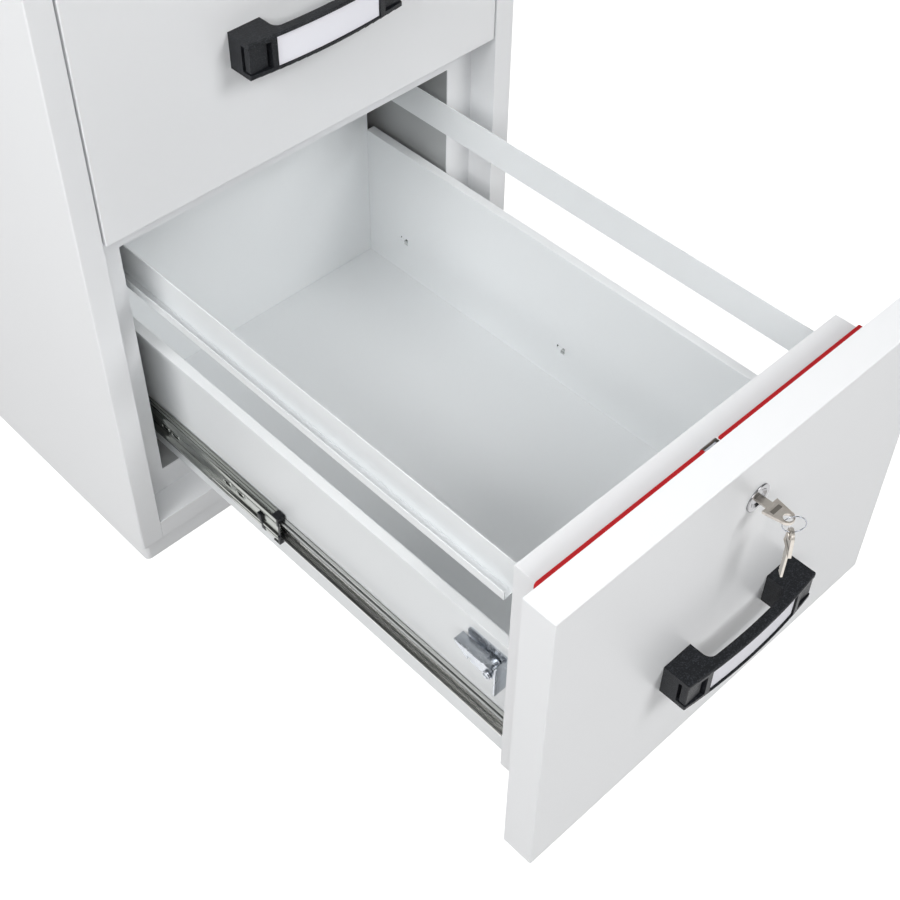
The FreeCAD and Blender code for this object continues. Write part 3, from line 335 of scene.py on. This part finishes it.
def moulded_black(name, fleck, roughness, grain_depth):
    plastic = Finish(name, ior=1.48, specular_ior_level=0.3)
    grain = plastic.noise(0.0012, 4)
    sparks = plastic.node("ShaderNodeValToRGB", {"stops": ((0.50, (0, 0, 0, 1)), (0.72, (1, 1, 1, 1)))}, {"Fac": grain})
    plastic.feed({
        "Base Color": plastic.between(sparks * fleck, CHARCOAL, CHARCOAL_FLECK),
        "Roughness": roughness + (grain - 0.5) * 0.5,
        "Normal": plastic.bump(grain, grain_depth),
    })
    return plastic.material


handle_black = moulded_black("handle_spark_grain", 0.6, 0.46, 0.0003)
handle_rim = moulded_black("handle_polished_rim", 0.1, 0.24, 0.00003)
bumper_black = moulded_black("bumper_plastic", 0.1, 0.4, 0.00003)

card_white = Finish("label_card_paper", specular_ior_level=0.3)
card_fibre = card_white.noise(0.0006, 4)
card_white.feed({
    "Base Color": card_white.between(card_fibre, (0.91, 0.91, 0.975, 1), (0.94, 0.94, 0.99, 1)),
    "Roughness": 0.6 + card_fibre * 0.2,
    "Normal": card_white.bump(card_fibre, 0.00002),
})
for level in ("lower", "upper"):
    edged_copy(level + "_handle", 0.0007, handle_black, 3, handle_rim)
    edged_copy(level + "_handle_caps", 0.0005, handle_black, 2, handle_rim)
    edged_copy(level + "_label_card", 0.0001, card_white.material, 1)

# The lock has a bright chrome rose and barrel. Keys, ring and spare are nickel plated brass.
chrome = Finish("lock_chrome", metallic=1.0)
chrome_haze = chrome.noise(0.004, 3)
chrome.feed({
    "Base Color": (0.34, 0.34, 0.35, 1),
    "Roughness": 0.13 + chrome_haze * 0.08,
})
nickel = Finish("key_nickel", metallic=1.0)
nickel_haze = nickel.noise(0.003, 4)
nickel_fine = nickel.noise(0.0006, 2, (1, 6, 1))
nickel.feed({
    "Base Color": nickel.between(nickel_haze, (0.52, 0.48, 0.43, 1), (0.68, 0.64, 0.59, 1)),
    "Roughness": 0.22 + nickel_haze * 0.15 + nickel_fine * 0.06,
    "Normal": nickel.bump(nickel_fine, 0.00002),
})
for level in ("lower", "upper"):
    edged_copy(level + "_lock_housing", 0.0002, chrome.material)
    edged_copy(level + "_lock_barrel", 0.0003, chrome.material)

# Each key is stamped from nickel plated brass: a raised rim follows the edge of the bow, another
# goes round its hole, and the sunk strip across it is left bare and dull.
KEY_HALF_T = 0.0012
KEY_TIP_R = 0.007
KEY_BOW_HALF = 0.010
KEY_BOW_LENGTH = 0.024
KEY_HOLE_BACK = 0.0057
KEY_STRIP = (0.0118, 0.0038, 0.0175)
key_dull = Finish("key_bare_strip", metallic=1.0)
key_dull_grain = key_dull.noise(0.0005, 2, (6, 1, 1))
key_dull.feed({
    "Base Color": key_dull.between(key_dull_grain, (0.20, 0.185, 0.165, 1), (0.34, 0.315, 0.28, 1)),
    "Roughness": 0.42 + key_dull_grain * 0.12,
})
LOCK_KEY_PLACE = Matrix.Translation((0, -0.9635, 0.3636))
SPARE_KEY_PLACE = (Matrix.Translation((0.004732, -0.96226, 0.34285)) @ Matrix.Rotation(math.radians(46.7), 4, "Z")
                   @ Matrix.Rotation(math.radians(-90), 4, "X") @ Matrix.Translation((0, -KEY_HOLE_BACK, 0)))


def bow_rim(face):
    """Raised rim of a bow in the key's own frame: tip at the origin, blade toward +Y."""
    bpy.ops.object.select_all(action="DESELECT")
    bpy.ops.mesh.primitive_circle_add(vertices=36, radius=KEY_TIP_R, fill_type="NGON", location=(0, KEY_TIP_R, 0))
    rim = bpy.context.active_object
    bpy.ops.object.transform_apply(location=True)
    bpy.ops.object.mode_set(mode="EDIT")
    bpy.ops.mesh.select_all(action="SELECT")
    bpy.ops.mesh.bisect(plane_co=(0, KEY_TIP_R, 0), plane_no=(0, 1, 0), clear_outer=True)
    bpy.ops.mesh.extrude_region_move(TRANSFORM_OT_translate={"value": (0, KEY_BOW_LENGTH - KEY_TIP_R, 0)})
    bpy.ops.transform.resize(value=(KEY_BOW_HALF / KEY_TIP_R, 1, 1))
    bpy.ops.mesh.select_all(action="SELECT")
    bpy.ops.mesh.dissolve_faces()
    bpy.ops.mesh.inset(thickness=0.0003)
    bpy.ops.mesh.select_all(action="INVERT")
    bpy.ops.mesh.delete(type="FACE")
    bpy.ops.mesh.select_all(action="SELECT")
    bpy.ops.mesh.inset(thickness=0.0010)
    bpy.ops.mesh.delete(type="FACE")
    bpy.ops.mesh.select_all(action="SELECT")
    bpy.ops.mesh.extrude_region_move(TRANSFORM_OT_translate={"value": (0, 0, 0.0003)})
    bpy.ops.mesh.select_all(action="SELECT")
    bpy.ops.mesh.normals_make_consistent(inside=False)
    bpy.ops.transform.translate(value=(0, 0, KEY_HALF_T - 0.00005))
    if face < 0:
        bpy.ops.transform.resize(value=(1, 1, -1), center_override=(0, 0, 0))
        bpy.ops.mesh.normals_make_consistent(inside=False)
    bpy.ops.object.mode_set(mode="OBJECT")
    return rim


ring_wire = Finish("ring_wire_chrome", metallic=1.0)
ring_haze = ring_wire.noise(0.003, 2)
ring_wire.feed({
    "Base Color": ring_wire.between(ring_haze, (0.26, 0.28, 0.32, 1), (0.52, 0.54, 0.58, 1)),
    "Roughness": 0.10 + ring_haze * 0.10,
})
edged_copy("key_ring", 0.00001, ring_wire.material, 1)
for key_name, key_place in (("key", LOCK_KEY_PLACE), ("spare_key", SPARE_KEY_PLACE)):
    whole_key = edged_copy(key_name, 0.0003, nickel.material)
    trims = []
    for face in (1, -1):
        rim = bow_rim(face)
        rim.data.materials.append(nickel.material)
        bpy.ops.object.select_all(action="DESELECT")
        bpy.ops.mesh.primitive_torus_add(major_segments=40, minor_segments=8, major_radius=0.00465, minor_radius=0.00042,
                                         location=(0, KEY_HOLE_BACK, face * KEY_HALF_T))
        eyelet = bpy.context.active_object
        eyelet.data.materials.append(nickel.material)
        bpy.ops.object.select_all(action="DESELECT")
        bpy.ops.mesh.primitive_cube_add(size=1, location=(0, KEY_STRIP[2], face * (KEY_HALF_T - 0.00035)))
        bare = bpy.context.active_object
        bare.data.materials.append(key_dull.material)
        bare.scale = (KEY_STRIP[0], KEY_STRIP[1], 0.0003)
        bpy.ops.object.transform_apply(location=False, rotation=False, scale=True)
        soften = bare.modifiers.new("edges", "BEVEL")
        soften.width = 0.00006
        bpy.ops.object.modifier_apply(modifier=soften.name)
        trims += [rim, eyelet, bare]
    for trim in trims:
        trim.matrix_world = key_place @ trim.matrix_world
    bpy.ops.object.select_all(action="DESELECT")
    for trim in trims + [whole_key]:
        trim.select_set(True)
    bpy.context.view_layer.objects.active = whole_key
    bpy.ops.object.join()

# The catch, the bolt, the strikes and the screws are zinc plated steel with a bluish bloom.
LEVEL_PITCH = 0.371
CATCH_PIVOT_Y = {"lower": -0.8320, "upper": -0.2870}
CATCH_PIVOT_Z = 0.2170
HOOK_MIDDLE_X = -0.2000
COIL_X = -0.2070
zinc = Finish("zinc_plate", metallic=1.0)
zinc_bloom = zinc.noise(0.012, 4)
zinc_fine = zinc.noise(0.0012, 3, (1, 0.25, 1))
zinc.feed({
    "Base Color": zinc.between(zinc_bloom * 0.6 + zinc_fine * 0.4, (0.26, 0.30, 0.35, 1), (0.80, 0.81, 0.83, 1)),
    "Roughness": 0.14 + zinc_bloom * 0.16 + zinc_fine * 0.08,
    "Normal": zinc.bump(zinc_fine, 0.00003),
})
for level in ("lower", "upper"):
    edged_copy(level + "_latch_bracket", 0.0005, zinc.material)
    hook = edged_copy(level + "_latch_hook", 0.0005, zinc.material)
    pivot_y = CATCH_PIVOT_Y[level]
    pivot_z = CATCH_PIVOT_Z + (LEVEL_PITCH if level == "upper" else 0)
    bpy.ops.object.select_all(action="DESELECT")
    bpy.ops.mesh.primitive_cube_add(size=1, location=(HOOK_MIDDLE_X, pivot_y + 0.0042, pivot_z + 0.0074))
    roof = bpy.context.active_object
    roof.data.materials.append(zinc.material)
    roof.scale = (0.0119, 0.0080, 0.0012)
    bpy.ops.object.transform_apply(location=True, rotation=False, scale=True)
    bpy.ops.object.mode_set(mode="EDIT")
    bpy.ops.mesh.select_all(action="SELECT")
    bpy.ops.mesh.bevel(offset=0.0004, segments=2)
    bpy.ops.object.mode_set(mode="OBJECT")
    bpy.ops.object.shade_smooth_by_angle(angle=math.radians(35))
    hook.select_set(True)
    bpy.context.view_layer.objects.active = hook
    bpy.ops.object.join()
    pivot = edged_copy(level + "_latch_pivot", 0.0001, zinc.material)
    coils = []
    for turn in range(2):
        bpy.ops.object.select_all(action="DESELECT")
        bpy.ops.mesh.primitive_torus_add(major_segments=32, minor_segments=10, major_radius=0.0039, minor_radius=0.00062,
                                         rotation=(0, math.radians(84), 0),
                                         location=(COIL_X - 0.00145 * turn, pivot_y, pivot_z))
        coil = bpy.context.active_object
        coil.data.materials.append(zinc.material)
        bpy.ops.object.transform_apply(location=True, rotation=True, scale=True)
        bpy.ops.object.shade_smooth()
        coils.append(coil)
    for coil in coils + [pivot]:
        coil.select_set(True)
    bpy.context.view_layer.objects.active = pivot
    bpy.ops.object.join()
    edged_copy(level + "_lock_bolt", 0.0004, zinc.material)
edged_copy("latch_strikes", 0.0003, zinc.material)

# The slides are rolled from strip that is zinc plated and passivated, with faint green and
# yellow streaks along their length. The middle member has a ball track in each flange and a
# valley between them; the drawer member opens outward. Slots are punched through both.
SLIDE_LINE_X = 0.2039
SLIDE_LINE_Z = 0.1395
STRIP_GAUGE = 0.0012
MIDDLE_FRONT_Y = {"lower": -0.5375, "upper": -0.2977}
MIDDLE_LENGTH = 0.56
MIDDLE_HALF_SECTION = (
    (10.5, 16.7), (10.5, 17.4), (8.6, 17.4), (8.1, 16.7), (7.2, 16.7), (6.8, 17.4), (5.6, 17.4), (5.2, 16.9),
    (4.7, 16.9), (4.3, 17.4), (3.6, 17.1), (2.9, 16.5), (2.5, 15.7), (2.5, 12.6), (2.9, 12.1), (2.9, 11.3),
    (2.5, 10.7), (2.7, 9.6), (3.3, 8.9), (4.6, 8.4), (5.2, 7.9), (5.5, 7.0),
)
DRAWER_FRONT_Y = {"lower": -0.8465, "upper": -0.3015}
DRAWER_LENGTH = 0.6
DRAWER_HALF_SECTION = (
    (4.4, 12.4), (5.6, 12.4), (6.1, 11.8), (7.7, 11.8), (8.2, 12.4), (10.2, 12.4), (11.2, 12.2), (11.8, 11.6),
    (12.1, 10.7), (12.1, 7.0), (11.6, 6.2), (11.4, 5.4),
)
MIDDLE_SLOTS_BACK = (0.062, 0.083, 0.171, 0.188, 0.327, 0.420, 0.513)
DRAWER_SLOTS_BACK = (0.039, 0.050, 0.150, 0.250, 0.350, 0.450, 0.550)

slide_zinc = Finish("slide_passivated_zinc", metallic=1.0)
streak = slide_zinc.noise(0.002, 1, (1, 0.006, 1))
tint = slide_zinc.noise(0.009, 2, (1, 0.04, 1))
green = slide_zinc.between(streak, (0.20, 0.22, 0.205, 1), (0.56, 0.58, 0.555, 1))
slide_zinc.feed({
    "Base Color": slide_zinc.between(tint * 0.5, green, (0.42, 0.41, 0.38, 1)),
    "Roughness": 0.14 + streak * 0.16,
    "Normal": slide_zinc.bump(streak, 0.00004),
})

# Heights on the drawer member, in millimetres from its middle, with how much of the plated colour shows there.
# The base colour is darkened in bands: painted shade along the ball tracks, in the corners and where the strip meets
# the tray wall.
TRACK_SHADE_DARK = (0.03, 0.031, 0.029, 1)
SHADE_BAND_MM = 28.0
TRACK_SHADE_STOPS = (
    (-13.2, 1.0), (-12.2, 1.0), (-11.8, 1.0), (-11.3, 0.45), (-10.2, 0.5), (-7.5, 1.0), (-5.4, 1.0),
    (-3.2, 0.95), (-1.4, 0.4), (1.5, 0.9), (7.5, 0.9), (10.6, 0.12), (12.4, 0.12), (13.0, 0.9),
)
bright_zinc = Finish("slide_bright_zinc", metallic=1.0)
bright_streak = bright_zinc.noise(0.0022, 1, (1, 0.006, 1))
strip_height = bright_zinc.node("ShaderNodeMath", {"operation": "WRAP"}, {
    0: bright_zinc.node("ShaderNodeSeparateXYZ", None, {0: bright_zinc.place()}, out=2),
    1: SLIDE_LINE_Z + LEVEL_PITCH / 2,
    2: SLIDE_LINE_Z - LEVEL_PITCH / 2,
})
# Painted shade: a ramp by height darkens the plated colour in bands along the drawer member.
painted_track_shade = bright_zinc.node(
    "ShaderNodeValToRGB",
    {"stops": [(height / SHADE_BAND_MM + 0.5, (lit_share, lit_share, lit_share, 1)) for height, lit_share in TRACK_SHADE_STOPS]},
    {"Fac": (strip_height - SLIDE_LINE_Z) * (1000 / SHADE_BAND_MM) + 0.5})
plated = bright_zinc.between(bright_streak, (0.50, 0.51, 0.49, 1), (0.97, 0.97, 0.96, 1))
bright_zinc.feed({
    "Base Color": bright_zinc.between(painted_track_shade, TRACK_SHADE_DARK, plated),
    "Roughness": 0.16 + bright_streak * 0.2,
    "Normal": bright_zinc.bump(bright_streak, 0.00008),
})


def rolled_strip(name, front_y, length, half_section, side, middle_z, slots_back, slot_u, material):
    """Strip bent along its length; the section is its middle line, mirrored about the slide's middle."""
    whole = list(half_section) + [(u, -z) for u, z in reversed(half_section)]
    path = [(side * (SLIDE_LINE_X - u / 1000), middle_z + z / 1000) for u, z in whole]
    bpy.ops.object.select_all(action="DESELECT")
    bpy.ops.mesh.primitive_plane_add(size=1, location=(0, 0, 0))
    strip = bpy.context.active_object
    strip.name = name
    strip.data.materials.append(material)
    bpy.ops.object.mode_set(mode="EDIT")
    bpy.ops.mesh.select_all(action="SELECT")
    bpy.ops.transform.resize(value=(0, length, 1))
    bpy.ops.mesh.remove_doubles(threshold=0.0001)
    bpy.ops.transform.translate(value=(path[0][0], front_y + length / 2, path[0][1]))
    for here, there in zip(path, path[1:]):
        step = (there[0] - here[0], 0, there[1] - here[1])
        bpy.ops.mesh.extrude_region_move(TRANSFORM_OT_translate={"value": step})
    bpy.ops.mesh.select_all(action="SELECT")
    bpy.ops.mesh.normals_make_consistent(inside=False)
    bpy.ops.object.mode_set(mode="OBJECT")
    gauge = strip.modifiers.new("gauge", "SOLIDIFY")
    gauge.thickness = STRIP_GAUGE
    gauge.offset = 0
    gauge.use_even_offset = True
    bpy.ops.object.modifier_apply(modifier=gauge.name)
    for back in slots_back:
        bpy.ops.mesh.primitive_cylinder_add(vertices=20, radius=0.0024, depth=0.006, rotation=(0, math.radians(90), 0),
                                            location=(side * (SLIDE_LINE_X - slot_u), front_y + back, middle_z))
        punch = bpy.context.active_object
        punch.scale = (1, 2.2, 1)
        cut = strip.modifiers.new("slot", "BOOLEAN")
        cut.object = punch
        bpy.ops.object.select_all(action="DESELECT")
        strip.select_set(True)
        bpy.context.view_layer.objects.active = strip
        bpy.ops.object.modifier_apply(modifier=cut.name)
        bpy.data.objects.remove(punch)
    bpy.ops.object.shade_smooth_by_angle(angle=math.radians(32))
    return strip


def swage(side, y, z, u, material):
    """Raised oval lip that the punch leaves round a slot of the web."""
    bpy.ops.object.select_all(action="DESELECT")
    bpy.ops.mesh.primitive_torus_add(major_segments=28, minor_segments=8, major_radius=0.0031, minor_radius=0.0007,
                                     rotation=(0, math.radians(90), 0), location=(side * (SLIDE_LINE_X - u), y, z))
    lip = bpy.context.active_object
    lip.data.materials.append(material)
    lip.scale = (1, 2.1, 1)
    bpy.ops.object.transform_apply(location=True, rotation=True, scale=True)
    bpy.ops.object.shade_smooth()
    return lip


for level in ("lower", "upper"):
    middle_z = SLIDE_LINE_Z + (LEVEL_PITCH if level == "upper" else 0)
    for side, hand in ((-1, "left"), (1, "right")):
        middle = rolled_strip(level + "_middle_member_" + hand, MIDDLE_FRONT_Y[level], MIDDLE_LENGTH,
                              MIDDLE_HALF_SECTION, side, middle_z, MIDDLE_SLOTS_BACK, 0.0055, slide_zinc.material)
        lips = [swage(side, MIDDLE_FRONT_Y[level] + back, middle_z, 0.0049, slide_zinc.material)
                for back in MIDDLE_SLOTS_BACK]
        for piece in lips + [middle]:
            piece.select_set(True)
        bpy.context.view_layer.objects.active = middle
        bpy.ops.object.join()
        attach(middle, node_body[level + "_middle_slides"])
        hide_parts(level + "_middle_slides")
        inner = rolled_strip(level + "_drawer_member_" + hand, DRAWER_FRONT_Y[level], DRAWER_LENGTH,
                             DRAWER_HALF_SECTION, side, middle_z, DRAWER_SLOTS_BACK, 0.0114, bright_zinc.material)
        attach(inner, node_body[level + "_drawer_slides"])
        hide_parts(level + "_drawer_slides")
edged_copy("cabinet_slides", 0.0004, slide_zinc.material)

# The front end of each middle member is capped by a black plastic bumper. A clip of the same
# plastic is hooked through the web behind it and holds the ball cage back.
for level in ("lower", "upper"):
    middle_z = SLIDE_LINE_Z + (LEVEL_PITCH if level == "upper" else 0)
    edged_copy(level + "_slide_bumpers", 0.0012, bumper_black, 3)
    for side, hand in ((-1, "left"), (1, "right")):
        bpy.ops.object.select_all(action="DESELECT")
        bpy.ops.mesh.primitive_cube_add(size=1, location=(0, 0, 0))
        clip = bpy.context.active_object
        clip.name = level + "_cage_clip_" + hand
        clip.data.materials.append(bumper_black)
        bpy.ops.object.mode_set(mode="EDIT")
        bpy.ops.mesh.select_all(action="SELECT")
        bpy.ops.transform.resize(value=(0.0032, 0.0065, 0.007))
        bpy.ops.transform.translate(value=(side * (SLIDE_LINE_X - 0.0036), MIDDLE_FRONT_Y[level] + 0.029, middle_z - 0.003))
        bpy.ops.mesh.select_all(action="DESELECT")
        bpy.ops.object.mode_set(mode="OBJECT")
        lowest = min(clip.data.polygons, key=lambda face: face.center.z)
        lowest.select = True
        bpy.ops.object.mode_set(mode="EDIT")
        bpy.ops.mesh.select_mode(type="FACE")
        for step in ((0, -0.003, -0.003), (side * 0.0004, -0.003, -0.003), (0, 0, -0.0055)):
            bpy.ops.mesh.extrude_region_move(TRANSFORM_OT_translate={"value": step})
        bpy.ops.mesh.select_all(action="SELECT")
        bpy.ops.mesh.normals_make_consistent(inside=False)
        bpy.ops.object.mode_set(mode="OBJECT")
        rounding = clip.modifiers.new("edges", "BEVEL")
        rounding.width = 0.0007
        rounding.segments = 2
        bpy.ops.object.modifier_apply(modifier=rounding.name)
        bpy.ops.object.shade_smooth_by_angle(angle=math.radians(35))
        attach(clip, node_body[level + "_slide_bumpers"])

ball_steel = Finish("ball_steel", metallic=1.0)
ball_haze = ball_steel.noise(0.003, 2)
ball_steel.feed({"Base Color": (0.62, 0.62, 0.62, 1), "Roughness": 0.12 + ball_haze * 0.1})

# The cast filling of the walls and drawer fronts is a pale gritty gypsum mix. It is sealed in.
filling = Finish("gypsum_filling")
grit = filling.noise(0.003, 5)
filling.feed({
    "Base Color": filling.between(grit, (0.52, 0.48, 0.41, 1), (0.68, 0.65, 0.58, 1)),
    "Roughness": 0.9 + grit * 0.1,
    "Normal": filling.bump(grit, 0.0004),
})

SLOT_FINISH = {
    "body_paint": body_paint,
    "plinth_paint": body_paint,
    "tray_paint": tray_paint,
    "zinc": zinc.material,
    "slide_zinc": slide_zinc.material,
    "ball_steel": ball_steel.material,
    "chrome": chrome.material,
    "key_nickel": nickel.material,
    "black_plastic": handle_black,
    "bumper_plastic": bumper_black,
    "label_card": card_white.material,
    "heat_seal": seal_red.material,
    "fire_filling": filling.material,
}
for node_name, node_object in frame["nodes"].items():
    if not node_object.hide_render:
        for spot in node_object.material_slots:
            spot.material = SLOT_FINISH[node_slot[node_name]]
